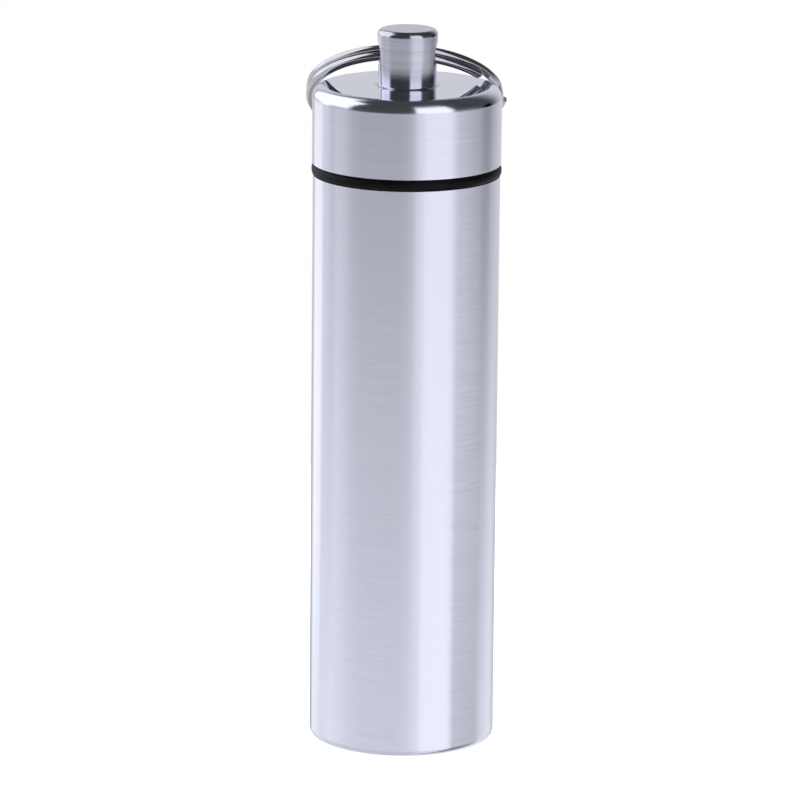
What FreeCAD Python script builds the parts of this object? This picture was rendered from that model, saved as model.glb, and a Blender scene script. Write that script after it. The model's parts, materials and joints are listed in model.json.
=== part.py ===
"""A key-chain pill case: a turned aluminium tube with a screw cap, its rubber seal and a split ring.

Frame: millimetres, +Z up, origin at the centre of the tube's foot. The tube, the seal and the cap
share the Z axis. The cross hole of the cap's post runs along X, and the split ring hangs from it
towards +Y, resting on the cap's rim.
"""
import FreeCAD, Part
import Sketcher
import math
import os

SIZES = {
    # tube
    "body_diameter": 22.0,      # outside of the tube
    "body_height": 68.1,        # foot to shoulder
    "wall_thickness": 2.5,      # tube's wall round the pill compartment
    "floor_thickness": 2.0,
    "floor_corner": 0.8,        # drill-point chamfer round the bore's floor
    "foot_edge_radius": 0.7,
    "neck_height": 7.9,         # threaded neck above the shoulder
    "mouth_chamfer": 0.2,
    # screw thread, right hand
    "neck_wall": 0.6,           # what is left of the neck under its run-out groove
    "thread_pitch": 1.5,
    "thread_depth": 0.5,
    "thread_crest": 0.35,       # flat on top of the neck's ridge
    "flank_angle": 30.0,
    "thread_overlap": 0.35,     # how far the cap's ridge reaches below the neck's crests
    "crest_gap": 0.12,          # crest of the neck to root of the cap
    "flank_gap": 0.07,          # play between two flanks
    "undercut_height": 1.7,     # run-out groove at the root of the neck
    "undercut_depth": 0.15,     # below the root of the thread
    "cutter_overreach": 0.1,    # how far the thread cutter stands out of the stock
    # seal
    "seal_thickness": 1.2,      # squeezed height, the joint line between cap and tube
    "seal_gap": 0.03,           # play round the seal
    "seal_proud": 0.15,         # how far it stands out of the tube's side
    "seal_edge_radius": 0.4,
    # cap
    "cap_overhang": 0.1,        # cap's side outside the tube's side
    "cap_height": 9.35,
    "roof_thickness": 2.0,
    "relief_height": 1.2,       # run-out groove under the roof
    "cap_edge_radius": 1.4,
    "rim_chamfer": 0.2,
    "post_diameter": 7.1,       # at its top
    "post_draft": 0.17,         # how much thinner its side is at the foot
    "post_height": 6.7,
    "post_edge_radius": 0.65,
    "post_foot_radius": 0.25,
    "eye_diameter": 2.8,        # cross hole of the post
    "eye_height": 3.75,         # its centre above the cap's top
    "eye_countersink": 0.15,
    "sink_reach": 0.4,          # how far the countersink stands out of the post's side
    # split ring
    "ring_diameter": 23.4,
    "wire_width": 1.05,         # across the flat wire, in the ring's plane
    "wire_height": 0.87,        # along the ring's axis
    "wire_edge_radius": 0.25,
    "coil_gap": 0.04,           # between the two turns
    "end_lead": 39.7,           # upper end, past the place where the ring meets the cap's rim
    "upper_gap": 2.0,           # from that end to the foot of the jog
    "jog_angle": 25.0,          # stretch where the wire crosses from turn to turn
    "lower_gap": 20.0,          # from the head of the jog to the lower turn's end
    "end_spring": 0.5,          # how far the upper end is sprung outwards
    "ring_lean": 2.4,           # its right side is lower, where one turn is missing
    "rest_gap": 0.15,           # ring above the cap's rim
    "edge_share": 0.9,          # part of the cap's edge radius outside the circle of rest
    "tilt_guess": 36.0,         # first value of the ring's tilt, which the geometry then corrects
}

# Values that two or more features share. They tie each piece to the ones that it fits.
DERIVED = {
    "body_radius": "Sizes.body_diameter / 2",
    "bore_radius": "Derived.body_radius - Sizes.wall_thickness",
    "bore_floor_radius": "Derived.bore_radius - Sizes.floor_corner",
    "bore_corner_height": "Sizes.floor_thickness + Sizes.floor_corner",
    "neck_top": "Sizes.body_height + Sizes.neck_height",
    "undercut_radius": "Derived.bore_radius + Sizes.neck_wall",
    "root_radius": "Derived.undercut_radius + Sizes.undercut_depth",
    "crest_radius": "Derived.root_radius + Sizes.thread_depth",
    "undercut_top": "Sizes.body_height + Sizes.undercut_height",
    "undercut_ramp_top": "Derived.undercut_top + Derived.crest_radius - Derived.undercut_radius",
    "mouth_radius": "Derived.bore_radius + Sizes.mouth_chamfer",
    "mouth_chamfer_height": "Derived.neck_top - Sizes.mouth_chamfer",
    "neck_chamfer_height": "Derived.neck_top - Sizes.thread_depth",
    # the neck's groove, seen in its section
    "flank_slope": "tan(Sizes.flank_angle)",
    "groove_start": "Sizes.body_height + Sizes.undercut_height / 2",
    "groove_outer_radius": "Derived.crest_radius + Sizes.cutter_overreach",
    "groove_root_half": "(Sizes.thread_pitch - Sizes.thread_crest) / 2"
                        " - Sizes.thread_depth * Derived.flank_slope",
    "groove_outer_half": "(Sizes.thread_pitch - Sizes.thread_crest) / 2"
                         " + Sizes.cutter_overreach * Derived.flank_slope",
    "groove_travel": "Derived.neck_top - Derived.groove_start + Sizes.thread_pitch",
    # cap
    "cap_radius": "Derived.body_radius + Sizes.cap_overhang",
    "cap_bottom": "Sizes.body_height + Sizes.seal_thickness",
    "cap_top": "Derived.cap_bottom + Sizes.cap_height",
    "roof_height": "Derived.cap_top - Sizes.roof_thickness",
    "nut_crest_radius": "Derived.crest_radius - Sizes.thread_overlap",
    "nut_root_radius": "Derived.crest_radius + Sizes.crest_gap",
    "relief_radius": "Derived.nut_root_radius + Sizes.undercut_depth",
    "relief_bottom": "Derived.roof_height - Sizes.relief_height",
    "relief_ramp_bottom": "Derived.relief_bottom - Derived.relief_radius + Derived.nut_crest_radius",
    "lead_in_top": "Derived.cap_bottom + Derived.relief_radius - Derived.nut_crest_radius",
    "rim_radius": "Derived.cap_radius - Sizes.rim_chamfer",
    "rim_height": "Derived.cap_bottom + Sizes.rim_chamfer",
    # the cap's groove takes the neck's ridge, half a pitch away from the neck's groove
    "nut_inner_radius": "Derived.nut_crest_radius - Sizes.cutter_overreach",
    "nut_root_half": "Sizes.thread_crest / 2 + Sizes.flank_gap"
                     " - Sizes.crest_gap * Derived.flank_slope",
    "nut_inner_half": "Derived.nut_root_half"
                      " + (Derived.nut_root_radius - Derived.nut_inner_radius) * Derived.flank_slope",
    "nut_start": "Derived.groove_start - Sizes.thread_pitch / 2",
    "nut_travel": "Derived.roof_height - Sizes.relief_height / 2 - Derived.nut_start",
    "post_radius": "Sizes.post_diameter / 2",
    "post_foot": "Derived.post_radius - Sizes.post_draft",
    "post_top": "Derived.cap_top + Sizes.post_height",
    "eye_radius": "Sizes.eye_diameter / 2",
    "eye_axis": "Derived.cap_top + Sizes.eye_height",
    "eye_edge": "Derived.eye_axis + Derived.eye_radius",
    "eye_side": "Derived.post_foot + Sizes.post_draft * Sizes.eye_height / Sizes.post_height",
    "sink_start": "Derived.eye_side - Sizes.eye_countersink",
    "sink_end": "Derived.eye_side + Sizes.sink_reach",
    "sink_edge": "Derived.eye_edge + Sizes.eye_countersink + Sizes.sink_reach",
    # seal
    "seal_bottom": "Sizes.body_height + Sizes.seal_gap",
    "seal_top": "Derived.cap_bottom - Sizes.seal_gap",
    "seal_inner": "Derived.undercut_radius + Sizes.seal_gap",
    "seal_outer": "Derived.body_radius + Sizes.seal_proud",
    # split ring, in its own frame: axis Z, centre at the origin, the eye's side at -Y
    "wire_radius": "(Sizes.ring_diameter - Sizes.wire_width) / 2",
    "ring_inner": "Derived.wire_radius - Sizes.wire_width / 2",
    "upper_turn": "(Sizes.wire_height + Sizes.coil_gap) / 2",
    "lower_turn": "-Derived.upper_turn",
    "half_stack": "Derived.upper_turn + Sizes.wire_height / 2",
    "turn_rise": "2 * Derived.upper_turn",
    # The ring tilts until it meets the circle where the cap's top edge starts to fall: one side
    # rests on its lower turn, the other on its upper turn. The wire's inner edge meets that circle
    # at rest_reach from the eye, down the slope of the ring, where the slope has dropped rest_drop.
    # In the straight eye, the middle of the curved wire stands off by half its sagitta.
    "eye_sagitta": "Derived.wire_radius - sqrt(Derived.wire_radius ^ 2 - Derived.eye_side ^ 2)",
    "eye_to_centre": "Derived.wire_radius - Derived.eye_sagitta / 2",
    "eye_above_rim": "Sizes.eye_height - Sizes.rest_gap",
    "rest_circle": "Derived.cap_radius - Sizes.edge_share * Sizes.cap_edge_radius",
    "circle_term": "Derived.eye_to_centre ^ 2 - Derived.ring_inner ^ 2 + Derived.rest_circle ^ 2",
    "first_drop": "Derived.eye_above_rim - Derived.half_stack / 2 / cos(Sizes.tilt_guess)",
    "first_reach": "(Derived.first_drop ^ 2 + Derived.circle_term) / (2 * Derived.eye_to_centre)",
    "first_tilt": "asin(Derived.first_drop / Derived.first_reach) / 1deg",
    "rest_drop": "Derived.eye_above_rim - Derived.half_stack / 2 / cos(Derived.first_tilt)",
    "rest_reach": "(Derived.rest_drop ^ 2 + Derived.circle_term) / (2 * Derived.eye_to_centre)",
    "ring_tilt": "asin(Derived.rest_drop / Derived.rest_reach) / 1deg",
    # Where the turns end, in degrees from +X. The place of rest is counted from the eye's side, and
    # the gap of the lower turn lies over it.
    "rest_angle": "acos((Derived.eye_to_centre - Derived.rest_reach) / Derived.ring_inner) / 1deg",
    "end_angle": "Derived.rest_angle + Sizes.end_lead - 90",
    "spring_angle": "90 - Derived.end_angle",
    "lower_start": "Derived.end_angle - Sizes.upper_gap",
    "lower_angle": "360 - Sizes.jog_angle - Sizes.lower_gap",
    "upper_angle": "270 - Sizes.jog_angle - Sizes.upper_gap + Derived.end_angle",
    "jog_turns": "Sizes.jog_angle / 360",
}

# Two lengths closer than this are the same.
SAME = 1e-4

# The ring leans and tilts about the middle of the eye.
RING_TURN = "rotation(0; Sizes.ring_lean; -Derived.ring_tilt)"
RING_PLACE = (f"placement(vector(0; 0; Derived.eye_axis) + "
              f"{RING_TURN} * vector(0; Derived.eye_to_centre; 0); {RING_TURN})")


def make_sheet(doc):
    """The driving dimensions, one row each: name, value."""
    sheet = doc.addObject("Spreadsheet::Sheet", "Sizes")
    for row, (name, value) in enumerate(SIZES.items(), start=1):
        sheet.set(f"A{row}", name)
        sheet.set(f"B{row}", str(value))
        sheet.setAlias(f"B{row}", name)
    doc.recompute()


def make_derived(doc):
    """The derived values, each bound to the sheet."""
    derived = doc.addObject("App::VarSet", "Derived")
    for name, formula in DERIVED.items():
        derived.addProperty("App::PropertyFloat", name, "Derived")
        derived.setExpression(name, formula)
        doc.recompute()
    return derived


def link(name):
    """The expression that reads a named value."""
    return ("Sizes." if name in SIZES else "Derived.") + name


def amount(name):
    """The present number of a named value."""
    return SIZES[name] if name in SIZES else getattr(derived, name)


def new_body(label):
    """An empty body, named as its node."""
    body = doc.addObject("PartDesign::Body", label)
    body.Label = label
    return body


def new_sketch(body, name, role, turn=None):
    """A sketch on an origin plane of its body, turned about Z by a named angle if one is given."""
    sketch = body.newObject("Sketcher::SketchObject", name)
    plane = next(item for item in body.Origin.OriginFeatures if item.Role == role)
    sketch.AttachmentSupport = [(plane, "")]
    sketch.MapMode = "FlatFace"
    if turn:
        sketch.AttachmentOffset = FreeCAD.Placement(
            FreeCAD.Vector(0, 0, 0), FreeCAD.Rotation(FreeCAD.Vector(0, 1, 0), amount(turn)))
        sketch.setExpression("AttachmentOffset.Rotation.Angle", link(turn))
    doc.recompute()
    return sketch


def bind(sketch, kind, where, name, sign=1):
    """A sketch dimension bound to a named value."""
    index = sketch.addConstraint(Sketcher.Constraint(kind, *where, sign * amount(name)))
    sketch.setExpression(f"Constraints[{index}]", ("-" if sign < 0 else "") + link(name))


def place_corner(sketch, edge, across, up):
    """The start of an edge, held at named distances from the sketch's axes."""
    if across == "axis":
        sketch.addConstraint(Sketcher.Constraint("PointOnObject", edge, 1, -2))
    else:
        bind(sketch, "DistanceX", (-1, 1, edge, 1), across)
    if up == "ground":
        sketch.addConstraint(Sketcher.Constraint("PointOnObject", edge, 1, -1))
    else:
        bind(sketch, "DistanceY", (-1, 1, edge, 1), up)


def draw_loop(sketch, points):
    """A closed loop of straight edges."""
    count = len(points)
    for index in range(count):
        sketch.addGeometry(Part.LineSegment(points[index], points[(index + 1) % count]), False)
    for index in range(count):
        sketch.addConstraint(Sketcher.Constraint("Coincident", index, 2, (index + 1) % count, 1))


def draw_outline(sketch, corners):
    """A closed outline through corners given as pairs of named values."""
    zero = {"axis", "ground"}
    points = [FreeCAD.Vector(*[0 if name in zero else amount(name) for name in corner], 0)
              for corner in corners]
    draw_loop(sketch, points)
    for index, (across, up) in enumerate(corners):
        place_corner(sketch, index, across, up)


def draw_cutter(sketch, tip, tip_half, base, base_half, middle):
    """A thread cutter's section: a trapezium, the same above and below its middle."""
    height = amount(middle)
    corners = ((tip, tip_half, -1), (base, base_half, -1), (base, base_half, 1), (tip, tip_half, 1))
    points = [FreeCAD.Vector(amount(radius), height + side * amount(half), 0)
              for radius, half, side in corners]
    draw_loop(sketch, points)
    centre = sketch.addGeometry(Part.Point(FreeCAD.Vector(0, height, 0)), True)
    sketch.addConstraint(Sketcher.Constraint("PointOnObject", centre, 1, -2))
    bind(sketch, "DistanceY", (-1, 1, centre, 1), middle)
    for index, (radius, half, side) in enumerate(corners):
        bind(sketch, "DistanceX", (-1, 1, index, 1), radius)
        bind(sketch, "DistanceY", (centre, 1, index, 1), half, side)


def draw_wire_section(sketch, height):
    """The rounded section of the ring's wire, with its middle at a named height."""
    radius = amount("wire_edge_radius")
    half_width = amount("wire_width") / 2
    half_height = amount("wire_height") / 2
    middle = FreeCAD.Vector(amount("wire_radius"), amount(height), 0)
    for across, up in ((0, -1), (1, 0), (0, 1), (-1, 0)):
        along = FreeCAD.Vector(-up, across, 0)
        face = FreeCAD.Vector(across * half_width, up * half_height, 0)
        reach = (half_width if up else half_height) - radius
        sketch.addGeometry(
            Part.LineSegment(middle + face - along * reach, middle + face + along * reach), False)
    for quarter, (across, up) in enumerate(((1, -1), (1, 1), (-1, 1), (-1, -1))):
        centre = middle + FreeCAD.Vector(
            across * (half_width - radius), up * (half_height - radius), 0)
        first = (quarter - 1) * math.pi / 2
        circle = Part.Circle(centre, FreeCAD.Vector(0, 0, 1), radius)
        sketch.addGeometry(Part.ArcOfCircle(circle, first, first + math.pi / 2), False)
    for quarter in range(4):
        following = (quarter + 1) % 4
        sketch.addConstraint(Sketcher.Constraint("Tangent", quarter, 2, 4 + quarter, 1))
        sketch.addConstraint(Sketcher.Constraint("Tangent", 4 + quarter, 2, following, 1))
    for quarter in range(3):
        sketch.addConstraint(Sketcher.Constraint("Equal", 4 + quarter, 5 + quarter))
    for flat, upright in ((0, 1), (2, 3)):
        sketch.addConstraint(Sketcher.Constraint("Horizontal", flat))
        sketch.addConstraint(Sketcher.Constraint("Vertical", upright))
    centre = sketch.addGeometry(Part.Point(middle), True)
    bind(sketch, "DistanceX", (-1, 1, centre, 1), "wire_radius")
    bind(sketch, "DistanceY", (-1, 1, centre, 1), height)
    sketch.addConstraint(Sketcher.Constraint("Symmetric", 4, 3, 6, 3, centre, 1))
    bind(sketch, "Radius", (4,), "wire_edge_radius")
    bind(sketch, "DistanceX", (3, 1, 1, 1), "wire_width")
    bind(sketch, "DistanceY", (0, 1, 2, 1), "wire_height")


def turn_section(body, kind, name, sketch, axis="V_Axis", angle=None, backwards=False):
    """A Revolution or Groove of a sketch about one of its axes, whole or by a named angle."""
    feature = body.newObject(f"PartDesign::{kind}", name)
    feature.Profile = sketch
    feature.ReferenceAxis = (sketch, [axis])
    feature.Angle = 360
    feature.Reversed = backwards
    if angle:
        feature.setExpression("Angle", link(angle))
    doc.recompute()
    return feature


def cut_thread(body, name, sketch, travel):
    """A right-hand thread cut along the body's axis with the sketch as its cutter."""
    thread = body.newObject("PartDesign::SubtractiveHelix", name)
    thread.Profile = sketch
    thread.ReferenceAxis = (sketch, ["V_Axis"])
    thread.Mode = "pitch-height-angle"
    thread.setExpression("Pitch", link("thread_pitch"))
    thread.setExpression("Height", link(travel))
    doc.recompute()
    return thread


def round_edges(body, name, feature, radius, places):
    """A Fillet of the circles that lie at named (radius, height) places."""
    chosen = []
    for number, edge in enumerate(feature.Shape.Edges, start=1):
        curve = edge.Curve
        if not isinstance(curve, Part.Circle):
            continue
        for place_radius, place_height in places:
            height = 0 if place_height == "ground" else amount(place_height)
            off = max(abs(curve.Radius - amount(place_radius)), abs(curve.Center.z - height))
            if off < SAME:
                chosen.append(f"Edge{number}")
    fillet = body.newObject("PartDesign::Fillet", name)
    fillet.Base = (feature, chosen)
    fillet.setExpression("Radius", link(radius))
    doc.recompute()
    return fillet


def make_tube():
    """The turned tube: foot, blind bore, shoulder and threaded neck."""
    body = new_body("tube")
    sketch = new_sketch(body, "TubeOutline", "XZ_Plane")
    draw_outline(sketch, (
        ("axis", "ground"), ("body_radius", "ground"), ("body_radius", "body_height"),
        ("undercut_radius", "body_height"), ("undercut_radius", "undercut_top"),
        ("crest_radius", "undercut_ramp_top"), ("crest_radius", "neck_chamfer_height"),
        ("root_radius", "neck_top"), ("mouth_radius", "neck_top"),
        ("bore_radius", "mouth_chamfer_height"), ("bore_radius", "bore_corner_height"),
        ("bore_floor_radius", "floor_thickness"), ("axis", "floor_thickness")))
    turned = turn_section(body, "Revolution", "TubeTurned", sketch)
    rounded = round_edges(body, "FootEdge", turned, "foot_edge_radius", (("body_radius", "ground"),))
    cutter = new_sketch(body, "NeckCutter", "XZ_Plane")
    draw_cutter(cutter, "groove_outer_radius", "groove_outer_half",
                "root_radius", "groove_root_half", "groove_start")
    before = rounded.Shape.Volume
    thread = cut_thread(body, "NeckThread", cutter, "groove_travel")
    print("neck thread cut", before - thread.Shape.Volume)


def make_seal():
    """The O-ring in the joint line, squeezed between the shoulder and the cap's rim."""
    body = new_body("o_ring")
    sketch = new_sketch(body, "SealSection", "XZ_Plane")
    draw_outline(sketch, (("seal_inner", "seal_bottom"), ("seal_outer", "seal_bottom"),
                          ("seal_outer", "seal_top"), ("seal_inner", "seal_top")))
    turned = turn_section(body, "Revolution", "SealTurned", sketch)
    round_edges(body, "SealEdges", turned, "seal_edge_radius", (
        ("seal_inner", "seal_bottom"), ("seal_outer", "seal_bottom"),
        ("seal_inner", "seal_top"), ("seal_outer", "seal_top")))


def make_cap():
    """The turned screw cap with its post, thread and cross hole."""
    body = new_body("cap")
    sketch = new_sketch(body, "CapOutline", "XZ_Plane")
    draw_outline(sketch, (
        ("axis", "roof_height"), ("relief_radius", "roof_height"),
        ("relief_radius", "relief_bottom"), ("nut_crest_radius", "relief_ramp_bottom"),
        ("nut_crest_radius", "lead_in_top"), ("relief_radius", "cap_bottom"),
        ("rim_radius", "cap_bottom"), ("cap_radius", "rim_height"), ("cap_radius", "cap_top"),
        ("post_foot", "cap_top"), ("post_radius", "post_top"), ("axis", "post_top")))
    turned = turn_section(body, "Revolution", "CapTurned", sketch)
    edge = round_edges(body, "CapEdge", turned, "cap_edge_radius", (("cap_radius", "cap_top"),))
    post = round_edges(body, "PostEdge", edge, "post_edge_radius", (("post_radius", "post_top"),))
    foot = round_edges(body, "PostFoot", post, "post_foot_radius", (("post_foot", "cap_top"),))
    cutter = new_sketch(body, "NutCutter", "XZ_Plane")
    draw_cutter(cutter, "nut_inner_radius", "nut_inner_half",
                "nut_root_radius", "nut_root_half", "nut_start")
    thread = cut_thread(body, "NutThread", cutter, "nut_travel")
    print("nut thread cut", foot.Shape.Volume - thread.Shape.Volume)
    drill = new_sketch(body, "EyeOutline", "XZ_Plane")
    draw_eye(drill)
    eye = turn_section(body, "Groove", "Eye", drill, axis="Axis0")
    print("eye cut", thread.Shape.Volume - eye.Shape.Volume)


def draw_eye(sketch):
    """Half the section of the cross hole, countersunk at both ends, and its axis along X."""
    corners = (("sink_end", "eye_axis", -1), ("sink_end", "eye_axis", 1), ("sink_end", "sink_edge", 1),
               ("sink_start", "eye_edge", 1), ("sink_start", "eye_edge", -1),
               ("sink_end", "sink_edge", -1))
    points = [FreeCAD.Vector(side * amount(across), amount(up), 0) for across, up, side in corners]
    draw_loop(sketch, points)
    for index, (across, up, side) in enumerate(corners):
        bind(sketch, "DistanceX", (-1, 1, index, 1), across, side)
        bind(sketch, "DistanceY", (-1, 1, index, 1), up)
    axis = sketch.addGeometry(Part.LineSegment(points[0], points[1]), True)
    sketch.addConstraint(Sketcher.Constraint("Coincident", axis, 1, 0, 1))
    sketch.addConstraint(Sketcher.Constraint("Coincident", axis, 2, 1, 1))


def make_ring():
    """The split ring: two flat turns of one wire, joined by a jog, with the upper end sprung out."""
    body = new_body("split_ring")
    upper = new_sketch(body, "UpperSection", "YZ_Plane")
    draw_wire_section(upper, "upper_turn")
    add_spring_axis(upper)
    lower = new_sketch(body, "LowerSection", "XZ_Plane", turn="lower_start")
    draw_wire_section(lower, "lower_turn")
    turn_section(body, "Revolution", "LowerTurn", lower, angle="lower_angle")
    jog = body.newObject("PartDesign::AdditiveHelix", "Jog")
    jog.Profile = lower
    jog.ReferenceAxis = (lower, ["V_Axis"])
    jog.Mode = "height-turns-angle"
    jog.LeftHanded = True
    jog.setExpression("Height", link("turn_rise"))
    jog.setExpression("Turns", link("jog_turns"))
    doc.recompute()
    turn_section(body, "Revolution", "UpperTurn", upper, angle="upper_angle")
    turn_section(body, "Revolution", "SprungEnd", upper, axis="Axis0", angle="spring_angle",
                 backwards=True)
    body.setExpression("Placement", RING_PLACE)


def add_spring_axis(sketch):
    """The axis of the sprung end: as far behind the ring's own axis as the end springs out."""
    back = -amount("end_spring")
    axis = sketch.addGeometry(
        Part.LineSegment(FreeCAD.Vector(back, 0, 0), FreeCAD.Vector(back, 1, 0)), True)
    sketch.addConstraint(Sketcher.Constraint("Vertical", axis))
    sketch.addConstraint(Sketcher.Constraint("PointOnObject", axis, 1, -1))
    sketch.addConstraint(Sketcher.Constraint("DistanceY", axis, 1, axis, 2, 1))
    bind(sketch, "DistanceX", (-1, 1, axis, 1), "end_spring", -1)


def check_shapes(labels):
    """Stops the build if any object failed or a sub-part is not one valid solid."""
    for item in doc.Objects:
        if "Invalid" in item.State or "Error" in item.State:
            raise RuntimeError(f"{item.Name}: {item.State}")
    for label in labels:
        shape = doc.getObject(label).Shape
        if shape.isNull() or not shape.isValid() or len(shape.Solids) != 1:
            raise RuntimeError(f"{label} is not one valid solid")


doc = FreeCAD.newDocument("PillCase")
make_sheet(doc)
derived = make_derived(doc)
make_tube()
make_seal()
make_cap()
make_ring()
doc.recompute()

NODES = ("tube", "o_ring", "cap", "split_ring")
check_shapes(NODES)
os.makedirs("parts", exist_ok=True)
for node in NODES:
    shape = doc.getObject(node).Shape
    shape.exportStep(f"parts/{node}.step")
    print(node, shape.BoundBox, round(shape.Volume, 1))
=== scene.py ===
"""Looks of the key-chain pill case: satin turned aluminium, a rubber seal and a bright split ring.

Metres, in the CAD's frame: +Z up, origin at the centre of the tube's foot, the camera on the -Y side.
"""
import json
import math
import bpy
from mathutils import Matrix, Vector


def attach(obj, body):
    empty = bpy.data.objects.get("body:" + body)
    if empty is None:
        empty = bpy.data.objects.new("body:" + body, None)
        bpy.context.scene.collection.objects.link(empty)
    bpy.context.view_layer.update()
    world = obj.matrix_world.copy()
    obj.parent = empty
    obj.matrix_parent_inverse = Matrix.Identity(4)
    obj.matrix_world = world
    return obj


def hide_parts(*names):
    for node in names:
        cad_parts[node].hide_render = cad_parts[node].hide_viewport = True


MM = 0.001

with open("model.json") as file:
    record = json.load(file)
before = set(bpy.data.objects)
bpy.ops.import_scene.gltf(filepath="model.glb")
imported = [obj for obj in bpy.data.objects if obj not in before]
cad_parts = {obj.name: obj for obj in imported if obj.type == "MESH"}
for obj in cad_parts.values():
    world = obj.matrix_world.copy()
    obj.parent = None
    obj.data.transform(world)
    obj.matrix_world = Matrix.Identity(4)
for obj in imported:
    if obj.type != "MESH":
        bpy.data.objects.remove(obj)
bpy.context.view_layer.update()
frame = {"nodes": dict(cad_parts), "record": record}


# ---------------------------------------------------------------- node helpers
class Nodes:
    """Short calls for building a node tree."""

    def __init__(self, tree):
        self.tree = tree
        tree.nodes.clear()

    def add(self, kind, **values):
        """A node of a kind, with its properties set by name."""
        node = self.tree.nodes.new(kind)
        for name, value in values.items():
            setattr(node, name, value)
        return node

    def feed(self, socket, source):
        """Links a socket to another, or sets its value."""
        if isinstance(source, bpy.types.NodeSocket):
            self.tree.links.new(source, socket)
        else:
            socket.default_value = source

    def math(self, operation, *sources):
        """The result of a Math node."""
        node = self.add("ShaderNodeMath", operation=operation)
        for socket, source in zip(node.inputs, sources):
            self.feed(socket, source)
        return node.outputs[0]

    def ramp(self, source, low, high, to_low=0.0, to_high=1.0):
        """A smooth step of a value from one range to another."""
        node = self.add("ShaderNodeMapRange", interpolation_type="SMOOTHSTEP")
        for socket, value in zip(node.inputs, (source, low, high, to_low, to_high)):
            self.feed(socket, value)
        return node.outputs[0]

    def blend(self, factor, first, second):
        """A value between two values."""
        node = self.add("ShaderNodeMix", data_type="FLOAT")
        for socket, source in zip(node.inputs[:4], (factor, first, second)):
            self.feed(socket, source)
        return node.outputs[0]

    def noise(self, vector, scale, detail, roughness):
        """The value of a Noise texture."""
        node = self.add("ShaderNodeTexNoise")
        self.feed(node.inputs["Vector"], vector)
        self.feed(node.inputs["Scale"], scale)
        self.feed(node.inputs["Detail"], detail)
        self.feed(node.inputs["Roughness"], roughness)
        return node.outputs["Fac"]

    def mix(self, factor, first, second):
        """A colour between two colours."""
        node = self.add("ShaderNodeMix", data_type="RGBA")
        self.feed(node.inputs["Factor"], factor)
        self.feed(node.inputs["A"], first)
        self.feed(node.inputs["B"], second)
        return node.outputs["Result"]

    def apart(self, vector):
        """The three parts of a vector."""
        node = self.add("ShaderNodeSeparateXYZ")
        self.feed(node.inputs[0], vector)
        return node.outputs

    def bump(self, height, strength, distance):
        """A normal that follows a height."""
        node = self.add("ShaderNodeBump")
        self.feed(node.inputs["Strength"], strength)
        self.feed(node.inputs["Distance"], distance)
        self.feed(node.inputs["Height"], height)
        return node.outputs[0]

    def surface(self, **sources):
        """A Principled shader on the material's output. Base_Color feeds its socket Base Color."""
        shader = self.add("ShaderNodeBsdfPrincipled")
        for name, source in sources.items():
            self.feed(shader.inputs[name.replace("_", " ")], source)
        output = self.add("ShaderNodeOutputMaterial")
        self.feed(output.inputs["Surface"], shader.outputs[0])


def new_material(name):
    """A material with an empty node tree, and its helper."""
    material = bpy.data.materials.new(name)
    material.use_nodes = True
    return material, Nodes(material.node_tree)


def grey(level, blue=1.0):
    """A colour of one grey level, with its blue raised by a factor."""
    return (level, level, level * blue, 1)


def lathe_coordinates(nodes):
    """Object coordinates in which whatever is turned about Z changes fast across the tool's marks,
    and the distance from the axis."""
    x, y, z = nodes.apart(nodes.add("ShaderNodeTexCoord").outputs["Object"])
    radius = nodes.math("SQRT", nodes.math("ADD", nodes.math("MULTIPLY", x, x),
                                           nodes.math("MULTIPLY", y, y)))
    joined = nodes.add("ShaderNodeCombineXYZ")
    nodes.feed(joined.inputs[0], nodes.math("ADD", z, radius))
    nodes.feed(joined.inputs[1], nodes.math("MULTIPLY", x, ALONG_MARKS))
    nodes.feed(joined.inputs[2], nodes.math("MULTIPLY", y, ALONG_MARKS))
    return joined.outputs[0], radius


# ---------------------------------------------------------------- materials
ALONG_MARKS = 0.02               # how much slower the noise changes along the marks than across
FINE_MARKS = 9000.0              # tool marks, in a metre
BROAD_MARKS = 2200.0
MARK_DEPTH = 0.004 * MM
SATIN = 0.225                    # roughness of the turned sides
CUT_BRIGHT = (0.10, 0.13)        # roughness of the edges that were cut bright
FACED = (0.15, 0.19)             # roughness of the flat faces
EDGE_SLOPE = (0.04, 0.12)        # the normal's part along the axis where a side turns into an edge
FACE_SLOPE = (0.990, 0.998)      # and where an edge turns into a flat face
POST_EDGE = (3.8 * MM, 3.9 * MM)  # the post's foot, where the painted shade on the post ends
CLEAN = (0.78, 0.80, 0.947)
# painted shade: the post's colour darkened to stand in for the darker reflections it shows
POST_PAINTED_SHADE = ((0.53, 0.54, 0.65, 1), (0.60, 0.61, 0.73, 1))


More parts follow.
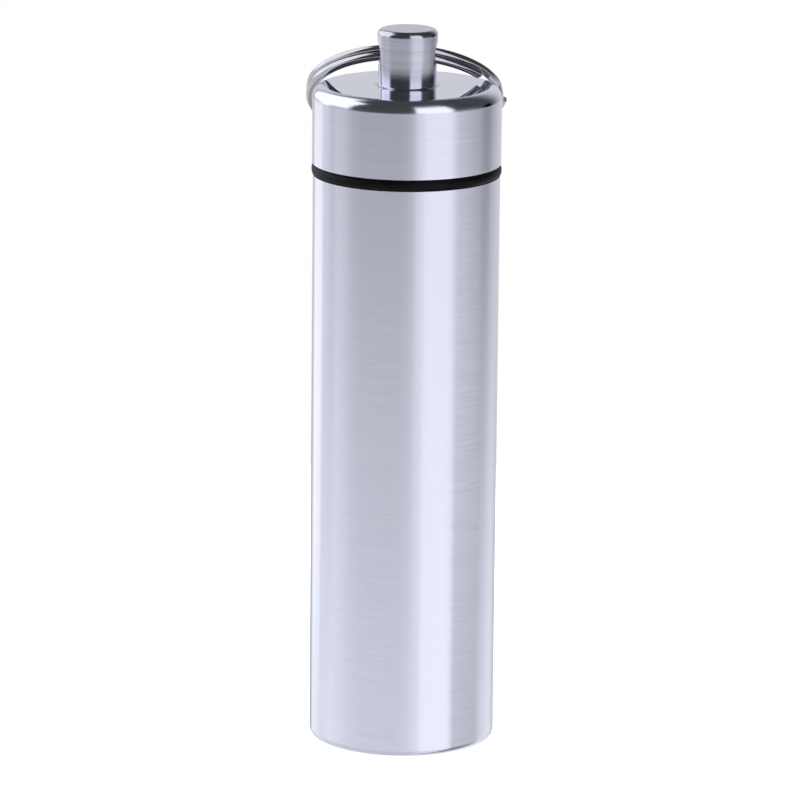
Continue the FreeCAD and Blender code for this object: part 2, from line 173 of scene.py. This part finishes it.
def turned_aluminium(name, relief, spread):
    """Aluminium as it leaves the lathe: satin sides, finer faces, edges cut bright, and painted shade
    darkening the post's colour.
    relief is the strength of its marks; spread is how far its roughness and colour vary."""
    material, nodes = new_material(name)
    marks, radius = lathe_coordinates(nodes)
    fine = nodes.noise(marks, FINE_MARKS, 3.0, 0.7)
    broad = nodes.noise(marks, BROAD_MARKS, 3.0, 0.6)
    normal = nodes.apart(nodes.add("ShaderNodeTexCoord").outputs["Normal"])
    slope = nodes.math("ABSOLUTE", normal["Z"])
    satin, cut, faced = (nodes.ramp(fine, 0.3, 0.7, low, high) for low, high in
                         ((SATIN - spread, SATIN + spread), CUT_BRIGHT, FACED))
    side_and_edge = nodes.blend(nodes.ramp(slope, *EDGE_SLOPE), satin, cut)
    patches = nodes.ramp(broad, 0.3, 0.7)
    clean = nodes.mix(patches, *((*(part + shift for part in CLEAN), 1) for shift in (-spread, spread)))
    # painted shade on the post: a darker base colour inside the post's radius
    post_shade = nodes.mix(patches, *POST_PAINTED_SHADE)
    nodes.surface(
        Base_Color=nodes.mix(nodes.ramp(radius, *POST_EDGE), post_shade, clean),
        Metallic=1.0,
        Roughness=nodes.blend(nodes.ramp(slope, *FACE_SLOPE), side_and_edge, faced),
        Anisotropic=0.85,
        Anisotropic_Rotation=0.25,
        Tangent=nodes.add("ShaderNodeTangent", direction_type="RADIAL", axis="Z").outputs[0],
        Normal=nodes.bump(nodes.math("MULTIPLY_ADD", fine, 0.15, broad), relief, MARK_DEPTH))
    return material


def nickel_steel():
    """Bright nickel-plated spring steel with faint rubbing marks."""
    material, nodes = new_material("nickel_steel")
    rubs = nodes.noise(nodes.add("ShaderNodeTexCoord").outputs["Object"], 900.0, 6.0, 0.7)
    nodes.surface(
        Base_Color=nodes.mix(rubs, (0.48, 0.485, 0.53, 1), (0.63, 0.635, 0.69, 1)),
        Metallic=1.0,
        Roughness=nodes.ramp(rubs, 0.35, 0.75, 0.05, 0.16))
    return material


def black_rubber():
    """Nitrile rubber: black, faintly dusty, with a soft sheen."""
    material, nodes = new_material("black_rubber")
    place = nodes.add("ShaderNodeTexCoord").outputs["Object"]
    grain = nodes.noise(place, 4000.0, 5.0, 0.6)
    dust = nodes.ramp(nodes.noise(place, 350.0, 4.0, 0.6), 0.4, 0.8)
    nodes.surface(
        Base_Color=nodes.mix(dust, grey(0.001, 2.0), grey(0.005, 1.4)),
        Roughness=nodes.ramp(grain, 0.3, 0.7, 0.38, 0.55),
        Specular_IOR_Level=0.14,
        Normal=nodes.bump(grain, 0.3, 0.02 * MM))
    return material


def white_table():
    """A matte white surface, glowing faintly so that shadows on it stay pale."""
    material, nodes = new_material("white_table")
    grain = nodes.noise(nodes.add("ShaderNodeTexCoord").outputs["Object"], 300.0, 4.0, 0.6)
    nodes.surface(
        Base_Color=nodes.mix(grain, (0.93, 0.93, 0.935, 1), (0.95, 0.95, 0.955, 1)),
        Roughness=0.9,
        Specular_IOR_Level=0.1,
        Emission_Color=grey(1.0),
        Emission_Strength=0.6)
    return material


# ---------------------------------------------------------------- studio
# What the metal mirrors: a dim room, a pale floor and soft panels. Degrees; azimuth 0 is on the
# camera's side, positive to its right. Each row is (azimuth from, its soft edge, to, its soft edge,
# elevation from, its soft edge, to, its soft edge, brightness added). ALL runs past every edge.
ROOM = 0.06
ALL = 400
PANELS = (
    (-ALL, 1, ALL, 1, -ALL, 1, -11.5, 6.3, 0.92),       # pale floor all round
    (-125, 12, 125, 12, -ALL, 1, -25, 5, -0.33),        # darker floor close to the case
    (11, 4, 58, 5, -3, 8, 50, 20, 1.15),                # right panel
    (12, 22, 84, 30, -15, 4, 2, 5, 0.37),               # glow round its foot
    (22, 3, 64, 4, -ALL, 1, -12, 6, 0.17),              # brighter floor below it
    (66, 4, 112, 8, -ALL, 1, -16.5, 1.2, -0.42),        # darker floor to the right of that
    (106, 8, 124, 8, -16, 5, 2, 5, -0.13),              # gap beside the glow
    (-155, 5, -74, 6, 0, 4, 57, 5, 1.25),               # tall left panel
    (-155, 6, -95, 45, -15, 4, 2, 4, 0.46),             # glow round its foot
    (-126, 6, -108, 6, -8, 2.5, 6, 6, 0.60),            # bright patch in that glow
    (-125, 3, -98, 8, -16.3, 1, -9.5, 1.5, -0.27),      # darker floor below the patch
    (-112, 5, -97, 4, -ALL, 1, -15.5, 1.5, 0.12),       # paler floor below that
    (-152, 5, -126, 5, -15.5, 2, 0, 6, 0.15),           # bright strip at the glow's far edge
    (-148, 6, -124, 5, -ALL, 1, -15, 2, -0.14),         # darker floor below the strip
    (-ALL, 1, -155, 8, -ALL, 1, -13.5, 3, -0.50),       # dark floor behind the case, left half
    (152, 10, ALL, 1, -ALL, 1, -13.5, 3, -0.32),        # and right half
    (-ALL, 1, -158, 8, -10, 6, 30, 15, 0.62),           # pale wall behind, left half
    (140, 22, ALL, 1, -10, 6, 30, 15, 0.62),            # and right half
)


def band(nodes, value, low, low_soft, high, high_soft):
    """1 between two limits and 0 outside them, with a soft edge across each."""
    return nodes.math("MULTIPLY", nodes.ramp(value, low - low_soft, low + low_soft),
                      nodes.ramp(value, high - high_soft, high + high_soft, 1.0, 0.0))


def make_world():
    """A white tent to the eye; to reflections, a dim room with soft panels."""
    world = bpy.data.worlds.new("studio")
    bpy.context.scene.world = world
    world.use_nodes = True
    nodes = Nodes(world.node_tree)
    x, y, z = nodes.apart(nodes.add("ShaderNodeTexCoord").outputs["Generated"])
    degrees = 180 / math.pi
    azimuth = nodes.math("MULTIPLY", nodes.math("ARCTAN2", x, nodes.math("MULTIPLY", y, -1.0)), degrees)
    elevation = nodes.math("MULTIPLY", nodes.math("ARCSINE", z), degrees)
    total = ROOM
    for *edges, brightness in PANELS:
        mask = nodes.math("MULTIPLY", band(nodes, azimuth, *edges[:4]), band(nodes, elevation, *edges[4:]))
        total = nodes.math("MULTIPLY_ADD", mask, brightness, total)
    either = nodes.add("ShaderNodeMixShader")
    nodes.feed(either.inputs[0], nodes.add("ShaderNodeLightPath").outputs["Is Camera Ray"])
    for socket, strength in zip(either.inputs[1:], (total, 1.0)):
        light = nodes.add("ShaderNodeBackground")
        nodes.feed(light.inputs["Color"], grey(1.0))
        nodes.feed(light.inputs["Strength"], strength)
        nodes.feed(socket, light.outputs[0])
    output = nodes.add("ShaderNodeOutputWorld")
    nodes.feed(output.inputs["Surface"], either.outputs[0])


def make_table():
    """A round white table under the object."""
    bpy.ops.mesh.primitive_circle_add(vertices=128, radius=0.13, fill_type="NGON")
    table = bpy.context.object
    table.name = "table"
    table.data.materials.append(white_table())
    table.visible_glossy = False


def make_key_light():
    """A wide soft light overhead, for the table and the rubber. Mirrors don't see it."""
    data = bpy.data.lights.new("overhead", "AREA")
    data.shape = "DISK"
    data.size = 0.6
    data.energy = 5.0
    light = bpy.data.objects.new("overhead", data)
    light.location = (-0.1, -0.1, 0.6)
    light.visible_glossy = False
    bpy.context.collection.objects.link(light)


def make_camera():
    """A long lens, a little above the object, at the height of its middle."""
    data = bpy.data.cameras.new("camera")
    data.sensor_width = 36.0
    data.lens = 255.6
    distance = 0.6727
    down = math.radians(13.53)
    roll = math.radians(0.56)
    target = Vector((-0.0005, 0, 0.04077))
    camera = bpy.data.objects.new("camera", data)
    camera.location = target + distance * Vector((0, -math.cos(down), math.sin(down)))
    turn = Matrix.Rotation(math.pi / 2 - down, 3, "X") @ Matrix.Rotation(roll, 3, "Z")
    camera.rotation_euler = turn.to_euler()
    bpy.context.collection.objects.link(camera)
    bpy.context.scene.camera = camera


# ---------------------------------------------------------------- split ring
RING_DIAMETER = 23.4 * MM
EYE_TO_CENTRE = 10.9 * MM        # from the middle of the post's eye to the ring's centre
WIRE_WIDTH = 1.05 * MM
WIRE_HEIGHT = 0.87 * MM
COIL_GAP = 0.04 * MM
END_SPRING = 0.5 * MM            # how far the upper end is sprung outwards
END_CHAMFER = 0.1 * MM
UPPER_END = math.radians(6.8)    # angles from the ring's own X axis; the eye is at 270 degrees
SPRING_END = math.radians(90)
JOG_START = math.radians(340)
JOG_END = math.radians(365)
LOWER_END = math.radians(680)
WIRE_STEP = math.radians(1.5)
SECTION_POINTS = 32
SECTION_POWER = 3.0              # 2 is an ellipse; more is squarer


def ring_place():
    """The ring's own frame: its axis is the record's loop axis, and the hinge is its eye."""
    loop = next(mount for mount in frame["record"]["mounts"] if mount["name"] == "ring_loop")
    hinge = next(joint for joint in frame["record"]["behaviour"]["joints"]
                 if joint["name"] == "ring_swing")
    axis = Vector(loop["axis"]).normalized()
    across = Vector((axis.z, 0, -axis.x)).normalized()
    along = axis.cross(across)
    turn = Matrix((across, along, axis)).transposed().to_4x4()
    return Matrix.Translation(Vector(hinge["pos_m"]) + along * EYE_TO_CENTRE) @ turn


def wire_point(angle):
    """The middle of the wire at an angle, in the ring's frame, and the way outwards there."""
    radius = (RING_DIAMETER - WIRE_WIDTH) / 2
    outwards = Vector((math.cos(angle), math.sin(angle), 0))
    if angle < SPRING_END:
        point = Vector((0, -END_SPRING, 0)) + (radius + END_SPRING) * outwards
    else:
        point = radius * outwards
    share = min(max((angle - JOG_START) / (JOG_END - JOG_START), 0), 1)
    lowered = share * share * (3 - 2 * share)
    point.z = (WIRE_HEIGHT + COIL_GAP) * (0.5 - lowered)
    return point, outwards


def wire_section(angle, scale):
    """The corners of the wire's section at an angle: a rounded rectangle square to the wire."""
    nudge = WIRE_STEP / 10
    point, outwards = wire_point(angle)
    ahead = (wire_point(angle + nudge)[0] - wire_point(angle - nudge)[0]).normalized()
    upwards = outwards.cross(ahead).normalized()
    corners = []
    for number in range(SECTION_POINTS):
        turn = math.tau * number / SECTION_POINTS
        side, rise = (math.copysign(abs(part) ** (2 / SECTION_POWER), part)
                      for part in (math.cos(turn), math.sin(turn)))
        corners.append(point + scale * (outwards * side * WIRE_WIDTH / 2
                                        + upwards * rise * WIRE_HEIGHT / 2))
    return corners


def make_split_ring():
    """The split ring's wire: two turns, a smooth jog between them, and chamfered ends."""
    chamfer = END_CHAMFER / (RING_DIAMETER / 2)
    small = 1 - 2 * END_CHAMFER / WIRE_HEIGHT
    steps = round((LOWER_END - UPPER_END - 2 * chamfer) / WIRE_STEP)
    first, last = UPPER_END + chamfer, LOWER_END - chamfer
    stations = [(UPPER_END, small)]
    stations += [(first + (last - first) * step / steps, 1) for step in range(steps + 1)]
    stations += [(LOWER_END, small)]
    corners = [corner for angle, scale in stations for corner in wire_section(angle, scale)]
    faces = []
    for station in range(len(stations) - 1):
        for number in range(SECTION_POINTS):
            here = station * SECTION_POINTS
            following = (number + 1) % SECTION_POINTS
            faces.append((here + number, here + following,
                          here + SECTION_POINTS + following, here + SECTION_POINTS + number))
    smooth = [SECTION_POINTS <= number < len(faces) - SECTION_POINTS for number in range(len(faces))]
    faces.append(tuple(range(SECTION_POINTS))[::-1])
    faces.append(tuple(range(len(corners) - SECTION_POINTS, len(corners))))
    smooth += [False, False]
    mesh = bpy.data.meshes.new("split_ring_wire")
    mesh.from_pydata(corners, [], faces)
    mesh.transform(ring_place())
    mesh.polygons.foreach_set("use_smooth", smooth)
    mesh.validate()
    mesh.update()
    wire = bpy.data.objects.new("split_ring_wire", mesh)
    bpy.context.collection.objects.link(wire)
    wire.data.materials.append(nickel_steel())
    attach(wire, "ring")
    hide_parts("split_ring")


def dress(node, material):
    """Gives a CAD node a material in all its slots."""
    piece = frame["nodes"][node]
    for slot in piece.material_slots:
        slot.material = material


dress("tube", turned_aluminium("turned_tube", 0.015, 0.003))
dress("cap", turned_aluminium("turned_cap", 0.32, 0.01))
dress("o_ring", black_rubber())
make_split_ring()

make_world()
make_table()
make_key_light()
make_camera()
bpy.context.scene.view_settings.view_transform = "Standard"
